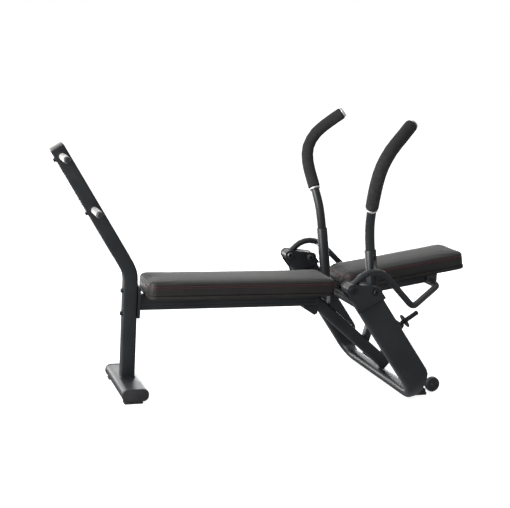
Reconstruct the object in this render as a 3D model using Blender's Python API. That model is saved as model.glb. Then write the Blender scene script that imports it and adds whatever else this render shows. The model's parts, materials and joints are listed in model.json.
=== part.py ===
"""Abdominal crunch bench: a fixed frame, a pivoting back rest with handles, and two wheels."""
import math

import bmesh
import bpy
from mathutils import Matrix, Vector

# Axes: +X from the foot bars towards the back rest, +Z up, left is -Y. Metres throughout.
GAP = 0.0003            # air between pieces that touch
RUN = 0.00006           # radial running clearance of a shaft in its bore

# Front foot and front post
FOOT_X = -0.5205
FOOT_W = 0.100
FOOT_H = 0.046
FOOT_Z = 0.0335
FOOT_HALF = 0.158
POST_X = -0.5195
POST_A = 0.054          # along the direction of the bend
POST_B = 0.045
POST_BEND_Z = 0.469
POST_TOP = (-0.8050, 0.9300)
FOOT_BAR_Z = {"upper": 0.9003, "lower": 0.7054}
FOOT_BAR_R = 0.0130
FOOT_BAR_HALF = 0.124

# Seat
BEAM_Z = 0.350
BEAM_H = 0.058
BEAM_W = 0.050
BEAM_X = (-0.4835, 0.2470)
FLANGE_X = -0.4915
FLANGE_Z = (0.289, 0.414)
SEAT_X = (-0.470, 0.2955)
SEAT_HALF_W = 0.110
SEAT_BOARD_Z = 0.3796
SEAT_BOARD_T = 0.012
SEAT_PAD_T = 0.049

# Rear frame
SLOPE = math.radians(54.0)              # of the rear legs, below the horizontal
LOOP_X = 0.5885
LOOP_Z = 0.0400
RUN_X = 0.5585                          # floor run of the loop: centre, size and tilt
RUN_Z = 0.0225
RUN_WIDE = 0.053
RUN_THICK = 0.036
RUN_TILT = math.radians(10)
LEG_Y = 0.330
LEG_SPLAY = 0.012                       # the legs stand this much further apart at the floor
LEG_CORNER = 0.012
LEG_WIDE = 0.106
LEG_THICK = 0.050
LEG_LENGTH = 0.494
LOOP_BEND = 0.090
SPINE_SLOPE = math.radians(39.9)
SPINE_POINT = (0.417, 0.1922)
SPINE_H = 0.048
SPINE_REACH = 0.2085                    # from the point to the square lower end
SPINE_W = 0.050
CROSS_X = (0.3050, 0.3350)
CROSS_Z = (0.3650, 0.3960)
CHEEK_IN_Y = 0.3010
CHEEK_OUT_Y = 0.3590
CHEEK_T = 0.0045
CHEEK_LOW = (0.3780, 0.4320)            # right end of the brackets' lower edge
LOBE_R = 0.0215
WHEEL = (0.6880, 0.214, 0.0325)
WHEEL_R = 0.0305

STOP_X = 0.4800                         # middle of the stop post at STOP_Z
STOP_Z = 0.1750
STOP_SIDE = 0.030
STOP_LEAN = math.radians(14)

# Moving frame
PIVOT = (0.2400, 0.4640)                 # X and Z of the hinge axis
PIVOT_R = 0.0080
CLAMP = (0.3320, 0.4560)                 # X and Z of the bolt through leg and bracket
HUB_R = 0.0200
ARM_R = 0.0125
SOCKET_R = 0.0225
SOCKET_BORE = 0.0194
HANDLE_R = 0.0185
GRIP_R = 0.0250
RING_AT = 0.2540                        # from the handle tube's low end to the collar ring
SOCKET_Y = 0.243
SOCKET_LOW = (0.3870, 0.3795)
SOCKET_TOP = (0.3535, 0.5930)
LOW_TUBE = (0.3890, 0.3610)
LOW_TUBE_R = 0.0150
RUN_TUBE = (0.7060, 0.4270)
PAD_TILT = math.radians(9.3)
PAD_START = (0.3205, 0.4640)            # X and Z of the top edge at the low end
PAD_LENGTH = 0.5420
PAD_HALF_W = 0.108
PAD_T = 0.0520
BOARD_T = 0.0138
RAIL = 0.030
LEVER_END = (0.6400, 0.2100)
HORN_TILT = math.radians(33.0)


# ---------------------------------------------------------------- materials
def material(name, colour, metallic, roughness):
    mat = bpy.data.materials.new(name)
    mat.use_nodes = True
    shader = mat.node_tree.nodes["Principled BSDF"]
    shader.inputs["Base Color"].default_value = (*colour, 1.0)
    shader.inputs["Metallic"].default_value = metallic
    shader.inputs["Roughness"].default_value = roughness
    mat.diffuse_color = (*colour, 1.0)
    return mat


def powder_coat(name):
    return material(name, (0.028, 0.031, 0.036), 0.0, 0.38)


def upholstery(name):
    return material(name, (0.030, 0.026, 0.025), 0.0, 0.55)


def foam_rubber(name):
    return material(name, (0.018, 0.016, 0.017), 0.0, 0.85)


def black_plastic(name):
    return material(name, (0.020, 0.020, 0.022), 0.0, 0.50)


def rubber(name):
    return material(name, (0.014, 0.014, 0.015), 0.0, 0.80)


def bright_steel(name):
    return material(name, (0.620, 0.610, 0.590), 1.0, 0.28)


def plywood(name):
    return material(name, (0.040, 0.036, 0.033), 0.0, 0.70)


# ---------------------------------------------------------------- geometry helpers
def face_out(bm):
    bmesh.ops.recalc_face_normals(bm, faces=bm.faces)
    if bm.calc_volume(signed=True) < 0:
        bmesh.ops.reverse_faces(bm, faces=bm.faces)


def to_object(name, bm, mat, origin=(0.0, 0.0, 0.0), smooth=35.0):
    """One named object from a bmesh, with its own origin and one material."""
    bmesh.ops.remove_doubles(bm, verts=bm.verts, dist=1e-6)
    face_out(bm)
    bmesh.ops.translate(bm, verts=bm.verts, vec=-Vector(origin))
    mesh = bpy.data.meshes.new(name)
    bm.to_mesh(mesh)
    bm.free()
    mesh.materials.append(mat)
    mesh.set_sharp_from_angle(angle=math.radians(smooth))
    for poly in mesh.polygons:
        poly.use_smooth = True
    obj = bpy.data.objects.new(name, mesh)
    obj.location = origin
    bpy.context.scene.collection.objects.link(obj)
    return obj


def circle(radius, count=16):
    return [(radius * math.cos(a), radius * math.sin(a))
            for a in (2 * math.pi * i / count for i in range(count))]


def rounded(width, height, corner, steps=3):
    """Outline of a rounded rectangle about the origin, counter-clockwise."""
    corner = min(corner, width / 2 - 1e-5, height / 2 - 1e-5)
    points = []
    for quarter in range(4):
        sx = (1, -1, -1, 1)[quarter]
        sy = (1, 1, -1, -1)[quarter]
        for i in range(steps + 1):
            a = math.pi / 2 * (quarter + i / steps)
            points.append((sx * (width / 2 - corner) + corner * math.cos(a),
                           sy * (height / 2 - corner) + corner * math.sin(a)))
    return points


def bridge(bm, low, high):
    count = len(low)
    for i in range(count):
        j = (i + 1) % count
        bm.faces.new((low[i], low[j], high[j], high[i]))


def loft(sections):
    """Closed body through equal-sized rings of 3-D points."""
    bm = bmesh.new()
    rings = [[bm.verts.new(p) for p in ring] for ring in sections]
    for low, high in zip(rings, rings[1:]):
        bridge(bm, low, high)
    bm.faces.new(list(reversed(rings[0])))
    bm.faces.new(rings[-1])
    return bm


def filleted(points, radii, step=math.radians(12)):
    """Polyline with its inner corners rounded to the given radii."""
    points = [Vector(p) for p in points]
    path = [points[0]]
    for before, corner, after, radius in zip(points, points[1:], points[2:], radii):
        u = (before - corner).normalized()
        v = (after - corner).normalized()
        turn = math.pi - u.angle(v)
        reach = radius * math.tan(turn / 2)
        centre = corner + (u + v).normalized() * radius / math.cos(turn / 2)
        start = corner + u * reach - centre
        side = start.cross(corner + v * reach - centre).normalized()
        count = max(2, math.ceil(turn / step))
        for i in range(count + 1):
            spin = Matrix.Rotation(turn * i / count, 3, side)
            path.append(centre + spin @ start)
    path.append(points[-1])
    return path


def frames(path, up):
    """Tangent, side and up at every point, carried along without twist."""
    result = []
    up = Vector(up)
    for i, point in enumerate(path):
        before = path[max(i - 1, 0)]
        after = path[min(i + 1, len(path) - 1)]
        a = (point - before).normalized() if i else (after - point).normalized()
        b = (after - point).normalized() if i < len(path) - 1 else a
        tangent = (a + b).normalized()
        up = (up - tangent * up.dot(tangent)).normalized()
        stretch = 1.0 / max(0.5, tangent.dot(b))
        result.append((point, tangent, tangent.cross(up).normalized(), up, stretch, a, b))
    return result


def sweep(path, outline, up=(0.0, 0.0, 1.0), chamfer=0.0):
    """Closed solid tube along a path; the outline is (side, up) in metres."""
    sections = []
    rows = frames(path, up)
    for index, (point, tangent, side, top, stretch, a, b) in enumerate(rows):
        bend = b - a
        bend_dir = bend.normalized() if bend.length > 1e-6 else None
        ring = []
        for x, y in outline:
            offset = side * x + top * y
            if bend_dir:
                offset += bend_dir * offset.dot(bend_dir) * (stretch - 1.0)
            ring.append(point + offset)
        if chamfer and index == 0:
            sections.append([point + (p - point) * (1 - chamfer / 0.012) for p in ring])
            ring = [p + tangent * chamfer for p in ring]
        if chamfer and index == len(rows) - 1:
            sections.append([p - tangent * chamfer for p in ring])
            ring = [point + (p - point) * (1 - chamfer / 0.012) for p in ring]
        sections.append(ring)
    return loft(sections)


def turned(profile, centre, axis, count=24):
    """Body turned about an axis; the profile is (distance along, radius) and starts and ends
    on the axis, or closes on itself to leave a bore."""
    axis = Vector(axis).normalized()
    side = Vector((0, 0, 1)) if abs(axis.z) < 0.9 else Vector((1, 0, 0))
    side = (side - axis * side.dot(axis)).normalized()
    other = axis.cross(side)
    centre = Vector(centre)
    bm = bmesh.new()
    rings = []
    for along, radius in profile:
        if radius < 1e-7:
            rings.append([bm.verts.new(centre + axis * along)])
            continue
        rings.append([bm.verts.new(centre + axis * along + (side * math.cos(t) + other * math.sin(t))
                                   * radius)
                      for t in (2 * math.pi * i / count for i in range(count))])
    closed = len(rings[0]) > 1
    pairs = list(zip(rings, rings[1:]))
    if closed:
        pairs.append((rings[-1], rings[0]))
    for low, high in pairs:
        for i in range(count):
            j = (i + 1) % count
            face = [low[i % len(low)], low[j % len(low)], high[j % len(high)], high[i % len(high)]]
            unique = list(dict.fromkeys(face))
            if len(unique) > 2:
                bm.faces.new(unique)
    return bm


def prism(outline, low, high, place):
    """Extrude a 2-D outline from low to high; place(u, v, w) gives the 3-D point."""
    return loft([[place(u, v, w) for u, v in outline] for w in (low, high)])


def in_xz(u, v, w):
    return Vector((u, w, v))


def box(low, high, edge=0.0015):
    """Box with chamfered upright edges and ends."""
    sx, sy, sz = (high[i] - low[i] for i in range(3))
    cx, cy = (low[0] + high[0]) / 2, (low[1] + high[1]) / 2
    wide = rounded(sx, sy, edge, 1)
    slim = rounded(sx - 2 * edge, sy - 2 * edge, edge * 0.5, 1)
    rings = [(slim, low[2]), (wide, low[2] + edge), (wide, low[2] + sz - edge), (slim, high[2])]
    return loft([[Vector((cx + u, cy + v, z)) for u, v in ring] for ring, z in rings])


def temp_object(bm):
    face_out(bm)
    mesh = bpy.data.meshes.new("cutter")
    bm.to_mesh(mesh)
    bm.free()
    obj = bpy.data.objects.new("cutter", mesh)
    bpy.context.scene.collection.objects.link(obj)
    return obj


def combine(obj, bodies, operation="DIFFERENCE", smooth=35.0):
    """Apply exact booleans to an object and drop the helper bodies."""
    helpers = [temp_object(bm) for bm in bodies]
    for helper in helpers:
        step = obj.modifiers.new("cut", "BOOLEAN")
        step.operation = operation
        step.solver = "EXACT"
        step.object = helper
    bpy.context.view_layer.update()
    done = obj.evaluated_get(bpy.context.evaluated_depsgraph_get())
    mesh = bpy.data.meshes.new_from_object(done)
    obj.modifiers.clear()
    obj.data = mesh
    mesh.name = obj.name
    for helper in helpers:
        bpy.data.objects.remove(helper)
    mesh.set_sharp_from_angle(angle=math.radians(smooth))
    for poly in mesh.polygons:
        poly.use_smooth = True
    return obj


def rod(start, end, radius, count=16):
    start, end = Vector(start), Vector(end)
    length = (end - start).length
    return turned([(0, 0), (0, radius), (length, radius), (length, 0)], start, end - start, count)


def both(build):
    """Build the left (-Y) and the right (+Y) copy of a piece."""
    build("left", -1.0)
    build("right", 1.0)


def bolt(name, mat, face, axis, shank, shank_r, head_r, head_h, nut_at=None):
    """Hexagon head on a washer at a face, shank the other way, and a nut nut_at below it."""
    washer = head_r * 1.4
    bm = turned([(-shank, 0), (-shank, shank_r - 0.001), (-shank + 0.001, shank_r),
                 (0, shank_r), (0, washer), (0.0016, washer), (0.0016, 0)], face, axis, 14)
    obj = to_object(name, bm, mat)
    axis = Vector(axis).normalized()
    top = Vector(face) + axis * 0.0012
    extra = [turned([(0, 0), (0, head_r), (head_h * 0.8, head_r), (head_h, head_r * 0.86),
                     (head_h, 0)], top, axis, 6)]
    if nut_at is not None:
        seat = Vector(face) - axis * (nut_at + GAP)
        extra.append(turned([(0, 0), (0, washer), (0.0014, washer), (0.0014, 0)], seat, -axis, 14))
        extra.append(turned([(0.001, 0), (0.001, head_r), (head_h * 0.9, head_r),
                             (head_h, head_r * 0.88), (head_h, 0)], seat, -axis, 6))
    return combine(obj, extra, "UNION")


# ---------------------------------------------------------------- front foot and post
def front_foot():
    outline = rounded(FOOT_W, FOOT_H, 0.020, 4)
    path = [Vector((FOOT_X, y, FOOT_Z)) for y in (-FOOT_HALF, FOOT_HALF)]
    to_object("front_foot_tube", sweep(path, outline), powder_coat("front_foot_coat"))

    def cap(side, sign):
        rings = []
        for inset, along in ((0.0, GAP), (-0.001, 0.0015), (-0.001, 0.0100), (0.003, 0.0120)):
            ring = rounded(FOOT_W - 2 * inset, FOOT_H - 2 * inset, 0.020 - inset, 4)
            rings.append([Vector((FOOT_X + u, sign * (FOOT_HALF + along), FOOT_Z + v))
                          for u, v in ring])
        return to_object(f"front_foot_cap_{side}", loft(rings), black_plastic(f"foot_cap_{side}"))

    def pad(side, sign):
        y = sign * (FOOT_HALF - 0.007)
        low = (FOOT_X - 0.042, y - 0.018, 0.0)
        high = (FOOT_X + 0.030, y + 0.018, FOOT_Z - FOOT_H / 2 - 0.001 - GAP)
        return to_object(f"front_foot_rubber_{side}", box(low, high, 0.003),
                         rubber(f"front_foot_rubber_{side}"))

    both(cap)
    both(pad)


def foot_bar_places():
    lean = (POST_TOP[0] - POST_X) / (POST_TOP[1] - POST_BEND_Z)
    return {name: (POST_X + lean * (z - POST_BEND_Z), z) for name, z in FOOT_BAR_Z.items()}


def post_direction():
    return Vector((POST_TOP[0] - POST_X, 0, POST_TOP[1] - POST_BEND_Z)).normalized()


def front_post():
    bottom = Vector((POST_X, 0, FOOT_Z + FOOT_H / 2 + GAP))
    bend = Vector((POST_X, 0, POST_BEND_Z))
    top = Vector((POST_TOP[0], 0, POST_TOP[1]))
    path = filleted([bottom, bend, top], [0.11], math.radians(8))
    outline = rounded(POST_B, POST_A, 0.006, 3)
    post = to_object("front_post", sweep(path, outline, up=(1, 0, 0)), powder_coat("post_coat"))
    cuts = [rod((x, -0.05, z), (x, 0.05, z), FOOT_BAR_R + GAP, 16)
            for x, z in foot_bar_places().values()]
    along = post_direction()
    back = Vector((-along.z, 0, along.x))
    for x, z in foot_bar_places().values():
        middle = Vector((x, 0, z))
        cuts.append(rod(middle, middle + back * 0.05, 0.0043, 12))
    for z in (FLANGE_Z[0] + 0.018, FLANGE_Z[1] - 0.018):
        cuts.append(rod((POST_X - 0.05, 0, z), (POST_X + 0.05, 0, z), 0.0053, 12))
    combine(post, cuts)

    rings = []
    for inset, step in ((0.0015, GAP), (0.0015, 0.0070), (0.0035, 0.0085)):
        ring = rounded(POST_A - 2 * inset, POST_B - 2 * inset, 0.006, 3)
        rings.append([top + along * step + back * u + Vector((0, v, 0)) for u, v in ring])
    to_object("post_top_cap", loft(rings), black_plastic("post_cap_plastic"))


def foot_bars():
    along = post_direction()
    back = Vector((-along.z, 0, along.x))
    for name, (x, z) in foot_bar_places().items():
        path = [Vector((x, y, z)) for y in (-FOOT_BAR_HALF, FOOT_BAR_HALF)]
        bar = to_object(f"foot_bar_{name}", sweep(path, circle(FOOT_BAR_R, 16)),
                        bright_steel(f"foot_bar_{name}_steel"))
        middle = Vector((x, 0, z))
        combine(bar, [rod(middle + back * 0.002, middle + back * 0.05, 0.0043, 12)])
        bolt(f"foot_bar_bolt_{name}", bright_steel(f"foot_bar_bolt_{name}_zinc"),
             middle + back * (POST_A / 2 + GAP), back, 0.020, 0.0040, 0.0065, 0.0050)
        for side, sign in (("left", -1.0), ("right", 1.0)):
            profile = [(GAP, 0), (GAP, 0.0115), (0.0120, 0.0115), (0.0145, 0.0090), (0.0145, 0)]
            to_object(f"foot_bar_cap_{name}_{side}",
                      turned(profile, (x, sign * FOOT_BAR_HALF, z), (0, sign, 0), 16),
                      black_plastic(f"foot_bar_cap_{name}_{side}"))


# ---------------------------------------------------------------- seat
def seat_beam():
    outline = rounded(BEAM_W, BEAM_H, 0.008, 2)
    path = [Vector((x, 0, BEAM_Z)) for x in BEAM_X]
    beam = to_object("seat_beam", sweep(path, outline), powder_coat("seat_beam_coat"))
    middle = (FLANGE_Z[0] + FLANGE_Z[1]) / 2
    plate = rounded(0.064, FLANGE_Z[1] - FLANGE_Z[0], 0.012, 3)
    flange = loft([[Vector((x, u, middle + v)) for u, v in plate]
                   for x in (FLANGE_X, BEAM_X[0] + 0.0005)])
    block = [(0.186, 0.3220), (0.189, 0.3110), (0.234, 0.2840), (BEAM_X[1], 0.2905),
             (BEAM_X[1], 0.3220)]
    combine(beam, [flange, prism(block, -0.0235, 0.0235, in_xz)], "UNION")
    groove = 0.0016
    cuts = []
    for z in (BEAM_Z - 0.012, BEAM_Z + 0.002, BEAM_Z + 0.016):
        for sign in (-1, 1):
            y = sign * BEAM_W / 2
            low = (BEAM_X[0] + 0.020, min(y, y - sign * 0.0012) - (0.01 if sign < 0 else 0),
                   z - groove)
            high = (BEAM_X[1] - 0.012, max(y, y - sign * 0.0012) + (0.01 if sign > 0 else 0),
                    z + groove)
            cuts.append(box(low, high, 0.0002))
    for z in (FLANGE_Z[0] + 0.018, FLANGE_Z[1] - 0.018):
        cuts.append(rod((FLANGE_X - 0.02, 0, z), (BEAM_X[0] + 0.055, 0, z), 0.0053, 12))
    combine(beam, cuts)
    for name, z in (("lower", FLANGE_Z[0] + 0.018), ("upper", FLANGE_Z[1] - 0.018)):
        bolt(f"seat_beam_bolt_{name}", bright_steel(f"seat_beam_bolt_{name}_zinc"),
             (POST_X - POST_A / 2 - GAP, 0, z), (-1, 0, 0), 0.0680, 0.0050, 0.0085, 0.0060,
             nut_at=POST_A / 2 + GAP + BEAM_X[0] + 0.0005 - POST_X)


def rounded_slab(length, width, corner, levels):
    """Rings of a slab in its own plane: levels are (height, inset)."""
    rings = []
    for height, inset in levels:
        ring = rounded(length - 2 * inset, width - 2 * inset, max(corner - inset, 0.006), 4)
        rings.append([Vector((u, v, height)) for u, v in ring])
    return rings


def pad_levels(thickness, edge):
    levels = [(0.0, 0.004), (0.004, 0.0)]
    levels.append((thickness - edge, 0.0))
    for i in range(1, 4):
        a = math.pi / 2 * i / 3
        levels.append((thickness - edge + edge * math.sin(a), edge * (1 - math.cos(a))))
    return levels


def seat():
    middle = (SEAT_X[0] + SEAT_X[1]) / 2
    length = SEAT_X[1] - SEAT_X[0]
    base = Matrix.Translation((middle, 0, SEAT_BOARD_Z))
    rings = rounded_slab(length - 0.012, 2 * SEAT_HALF_W - 0.010, 0.030,
                         [(0, 0.001), (0.001, 0), (SEAT_BOARD_T - 0.001, 0), (SEAT_BOARD_T, 0.001)])
    board = [[base @ p for p in ring] for ring in rings]
    to_object("seat_board", loft(board), plywood("seat_board_ply"))
    lift = base @ Matrix.Translation((0, 0, SEAT_BOARD_T + GAP))
    rings = rounded_slab(length, 2 * SEAT_HALF_W, 0.034, pad_levels(SEAT_PAD_T, 0.016))
    to_object("seat_pad", loft([[lift @ p for p in ring] for ring in rings]),
              upholstery("seat_pad_vinyl"))


# ---------------------------------------------------------------- rear frame
def leg_axes():
    down = Vector((math.cos(SLOPE), 0, -math.sin(SLOPE)))
    across = Vector((math.sin(SLOPE), 0, math.cos(SLOPE)))
    return down, across


def loop_section(share, grow=0.0):
    """Outline and centre shift of the rear loop: share 0 in the legs, 1 in the floor run."""
    wide = LEG_WIDE + (RUN_WIDE - LEG_WIDE) * share + 2 * grow
    thick = LEG_THICK + (RUN_THICK - LEG_THICK) * share + 2 * grow
    corner = LEG_CORNER + grow + (RUN_THICK / 2 - LEG_CORNER) * share
    return rounded(thick, wide, corner, 4)


def rear_leg_loop():
    down, across = leg_axes()
    foot = Vector((LOOP_X, 0, LOOP_Z))
    corners = []
    for sign in (-1, 1):
        low = foot + Vector((0, sign * (LEG_Y + LEG_SPLAY), 0))
        corners.append((low - down * LEG_LENGTH - Vector((0, sign * LEG_SPLAY, 0)), low))
    path = filleted([corners[0][0], corners[0][1], corners[1][1], corners[1][0]],
                    [LOOP_BEND, LOOP_BEND], math.radians(11))
    sections = []
    for point, tangent, side, top in (row[:4] for row in frames(path, across)):
        along_y = min(1.0, abs(tangent.y))
        share = along_y * along_y * (3 - 2 * along_y)
        tilt = (math.pi / 2 - SLOPE - RUN_TILT) * share
        turn = Matrix.Rotation(tilt, 3, Vector((0, 1, 0)))
        shift = Vector((RUN_X - LOOP_X, 0, RUN_Z - LOOP_Z)) * share
        ring = []
        for x, y in loop_section(share):
            ring.append(point + shift + turn @ (side * x + top * y))
        sections.append(ring)
    loop = to_object("rear_leg_loop", loft(sections), powder_coat("rear_leg_coat"))
    x, z = CLAMP
    hole = [rod((x, -0.40, z), (x, 0.40, z), 0.0063, 16)]
    room = [rod((PIVOT[0], -0.40, PIVOT[1]), (PIVOT[0], 0.40, PIVOT[1]), HUB_R + 0.0040, 24)]
    combine(loop, hole + room)


def center_beam():
    """Sloping beam from the seat beam's end face down onto the floor run."""
    start = BEAM_X[1] + GAP
    start_z = SPINE_POINT[1] - (start - SPINE_POINT[0]) * math.tan(SPINE_SLOPE)
    along = Vector((math.cos(SPINE_SLOPE), 0, -math.sin(SPINE_SLOPE)))
    square = Vector((math.sin(SPINE_SLOPE), 0, math.cos(SPINE_SLOPE)))
    end = Vector((SPINE_POINT[0], 0, SPINE_POINT[1])) + along * SPINE_REACH
    outline = rounded(SPINE_W, SPINE_H, 0.010, 3)
    top = []
    low = []
    for v, u in outline:
        z = start_z + u / math.cos(SPINE_SLOPE)
        top.append(Vector((start, v, z)))
        low.append(end + square * u + Vector((0, v, 0)))
    beam = to_object("center_beam", loft([top, low]), powder_coat("center_beam_coat"))
    combine(beam, [loop_foot_space()])


def spine_top(x):
    half = SPINE_H / 2 / math.cos(SPINE_SLOPE)
    return SPINE_POINT[1] - (x - SPINE_POINT[0]) * math.tan(SPINE_SLOPE) + half


def stop_post():
    """Leaning square post on the centre beam, with a rubber bumper under the weight lever."""
    side = STOP_SIDE / 2
    lean = math.tan(STOP_LEAN)
    top_z = 0.2520
    outline = rounded(2 * side, 2 * side, 0.003, 2)
    foot = []
    top = []
    for u, v in outline:
        x = STOP_X + u
        slope = math.tan(SPINE_SLOPE)
        rise = (spine_top(x) + GAP - STOP_Z) / (1 + slope * lean)
        foot.append(Vector((x + rise * lean, v, STOP_Z + rise)))
        top.append(Vector((x + (top_z - STOP_Z) * lean, v, top_z)))
    to_object("stop_post", loft([foot, top]), powder_coat("stop_post_coat"))
    rings = []
    for along, grow in ((GAP, -0.0010), (0.0025, 0.0015), (0.0090, 0.0015)):
        rings.append([Vector((p.x + (p.x - STOP_X - (top_z - STOP_Z) * lean) * grow / side,
                              p.y * (1 + grow / side), top_z + along)) for p in top])
    rings.append([Vector((p.x, p.y, lever_bottom(p.x) - GAP)) for p in top])
    to_object("stop_bumper", loft(rings), rubber("stop_bumper_rubber"))


def leg_inner_face(x, z):
    """Distance of the inner side of a rear leg from the centre plane, at a point on it."""
    down = leg_axes()[0]
    above = Vector((LOOP_X - x, 0, LOOP_Z - z)).dot(down)
    return LEG_Y + LEG_SPLAY * (1 - above / LEG_LENGTH) - LEG_THICK / 2


def cross_member():
    x0, x1 = CROSS_X
    z0, z1 = CROSS_Z
    ends = [[], []]
    for u, v in rounded(z1 - z0, x1 - x0, 0.008, 3):
        x, z = (x0 + x1) / 2 + v, (z0 + z1) / 2 + u
        reach = leg_inner_face(x, z) - 2 * GAP
        ends[0].append(Vector((x, -reach, z)))
        ends[1].append(Vector((x, reach, z)))
    to_object("cross_member", loft(ends), powder_coat("cross_member_coat"))
    a, b = x0 - 0.004, x1 - 0.001
    riser = [(a, spine_top(a) + GAP), (b, spine_top(b) + GAP), (b, z0 - GAP), (a, z0 - GAP)]
    to_object("cross_member_riser", prism(riser, -0.019, 0.019, in_xz),
              powder_coat("cross_riser_coat"))


def cheek_outline(low_left):
    """Two lobes at the top, about hinge and clamp bolt, tapering to a straight lower edge."""
    points = []
    px, pz = PIVOT
    cx, cz = CLAMP
    for i in range(9):
        a = math.radians(205 - i * 15)
        points.append((px + LOBE_R * math.cos(a), pz + LOBE_R * math.sin(a)))
    for i in range(6):
        a = math.radians(88 - i * 18)
        points.append((cx + 0.008 + LOBE_R * math.cos(a), cz - 0.002 + LOBE_R * math.sin(a)))
    points.append(CHEEK_LOW)
    points += low_left
    points.append((0.2300, 0.4370))
    return points


def pivot_bracket(side, sign):
    outlines = [cheek_outline([(0.2800, 0.3945), (0.2600, 0.4100)]),
                cheek_outline([(0.2695, 0.3755), (0.2590, 0.4010)])]
    inner = (CHEEK_IN_Y - CHEEK_T / 2, CHEEK_IN_Y + CHEEK_T / 2)
    outer = (CHEEK_OUT_Y - CHEEK_T / 2, CHEEK_OUT_Y + CHEEK_T / 2)

    def plate(pair, outline):
        low, high = sorted(sign * y for y in pair)
        return prism(outline, low, high, in_xz)

    obj = to_object(f"pivot_bracket_{side}", plate(inner, outlines[0]), powder_coat(f"bracket_{side}_coat"))
    x0, x1 = CLAMP[0] - 0.050, CLAMP[0] + 0.006
    top = CLAMP[1] + LOBE_R - 0.0015
    low, high = sorted((sign * (inner[0] + 0.0005), sign * (outer[1] - 0.0005)))
    web = [(x0, top - 0.0030), (x0, top + 0.0015), (x1, top - 0.0005), (x1, top - 0.0050)]
    combine(obj, [plate(outer, outlines[1]), prism(web, low, high, in_xz)], "UNION")
    holes = [rod((CLAMP[0], sign * 0.28, CLAMP[1]), (CLAMP[0], sign * 0.38, CLAMP[1]), 0.0063, 16),
             rod((PIVOT[0], sign * 0.28, PIVOT[1]), (PIVOT[0], sign * 0.38, PIVOT[1]),
                 PIVOT_R + GAP, 24)]
    return combine(obj, holes)


def bracket_bolts(side, sign):
    outer = CHEEK_OUT_Y + CHEEK_T / 2 + GAP
    reach = outer - (CHEEK_IN_Y - CHEEK_T / 2)
    bolt(f"clamp_bolt_{side}", bright_steel(f"clamp_bolt_{side}_zinc"),
         (CLAMP[0], sign * outer, CLAMP[1]), (0, sign, 0), reach + 0.009, 0.0058, 0.0108, 0.0068,
         nut_at=reach)
    px, pz = PIVOT
    head = 0.0150
    inner = -(reach + GAP)
    profile = [(inner - 0.0050, 0), (inner - 0.0050, 0.0110), (inner - 0.0030, 0.0130),
               (inner - GAP, 0.0130), (inner - GAP, PIVOT_R), (0, PIVOT_R), (0, head),
               (0.0022, head), (0.0050, head - 0.0035), (0.0056, 0)]
    to_object(f"pivot_pin_{side}", turned(profile, (px, sign * outer, pz), (0, sign, 0), 24),
              bright_steel(f"pivot_pin_{side}_steel"))


def loop_foot_space():
    """The floor run of the rear loop, a little larger, to cut its neighbours to shape."""
    path = [Vector((RUN_X, y, RUN_Z)) for y in (-0.5, 0.5)]
    up = Vector((math.cos(RUN_TILT), 0, math.sin(RUN_TILT)))
    return sweep(path, loop_section(1.0, GAP), up=up)


def rear_feet():
    def block(side, sign):
        points = [(RUN_X - 0.002, 0.0), (RUN_X + 0.090, 0.0), (RUN_X + 0.090, 0.010),
                  (RUN_X + 0.086, 0.013), (RUN_X + 0.084, 0.026), (RUN_X + 0.034, 0.036),
                  (RUN_X - 0.002, 0.010)]
        low, high = sorted((sign * 0.203, sign * 0.247))
        obj = to_object(f"rear_foot_rubber_{side}", prism(points, low, high, in_xz),
                        rubber(f"rear_foot_rubber_{side}"))
        return combine(obj, [loop_foot_space()])

    both(block)


def wheels():
    wx, wy, wz = WHEEL

    def wheel(side, sign):
        centre = (wx, sign * wy, wz)
        bore = 0.0045 + RUN
        half = 0.010
        profile = [(-half - 0.001, bore), (-half - 0.001, 0.0085), (-half + 0.0025, 0.0100),
                   (-half + 0.0025, 0.0190), (-half, 0.0205), (-half, WHEEL_R - 0.003),
                   (-half + 0.003, WHEEL_R), (half - 0.003, WHEEL_R), (half, WHEEL_R - 0.003),
                   (half, 0.0205), (half - 0.0025, 0.0190), (half - 0.0025, 0.0100),
                   (half + 0.001, 0.0085), (half + 0.001, bore)]
        return to_object(f"wheel_{side}", turned(profile, centre, (0, 1, 0), 24),
                         black_plastic(f"wheel_{side}"), centre)

    def bracket(side, sign):
        start = Vector((RUN_X + RUN_WIDE / 2 - 0.002, 0, RUN_Z + 0.006))
        plate_y = wy - 0.0135
        outline = [(start.x - 0.004, start.z + 0.012), (start.x - 0.001, start.z - 0.014),
                   (wx - 0.003, wz - 0.010), (wx + 0.009, wz - 0.006), (wx + 0.009, wz + 0.008),
                   (wx - 0.002, wz + 0.012), (start.x + 0.006, start.z + 0.016)]
        near, far = sorted((sign * (plate_y - 0.0038), sign * plate_y))
        obj = to_object(f"wheel_bracket_{side}", prism(outline, near, far, in_xz),
                        powder_coat(f"wheel_bracket_{side}_coat"))
        combine(obj, [loop_foot_space()])
        length = 0.0304
        pin = turned([(0, 0), (0, 0.0045), (length - 0.003, 0.0045), (length - 0.003, 0.0075),
                      (length, 0.0065), (length, 0)],
                     (wx, sign * (plate_y - 0.002), wz), (0, sign, 0), 24)
        return combine(obj, [pin], "UNION")

    both(wheel)
    both(bracket)


# ---------------------------------------------------------------- moving frame
MOVE = (PIVOT[0], 0.0, PIVOT[1])


def arm_path():
    px, pz = PIVOT
    side = [Vector((px, -0.331, pz)), Vector((0.3350, -0.331, 0.5590)),
            Vector((0.5330, -0.285, 0.3740)), Vector((RUN_TUBE[0], -0.155, RUN_TUBE[1]))]
    other = [Vector((p.x, -p.y, p.z)) for p in reversed(side)]
    start = side[0] + (side[1] - side[0]).normalized() * (HUB_R - 0.004)
    finish = Vector((start.x, -start.y, start.z))
    points = [start] + side[1:] + other[:-1] + [finish]
    return filleted(points, [0.090, 0.045, 0.042, 0.042, 0.045, 0.090], math.radians(16))


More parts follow.
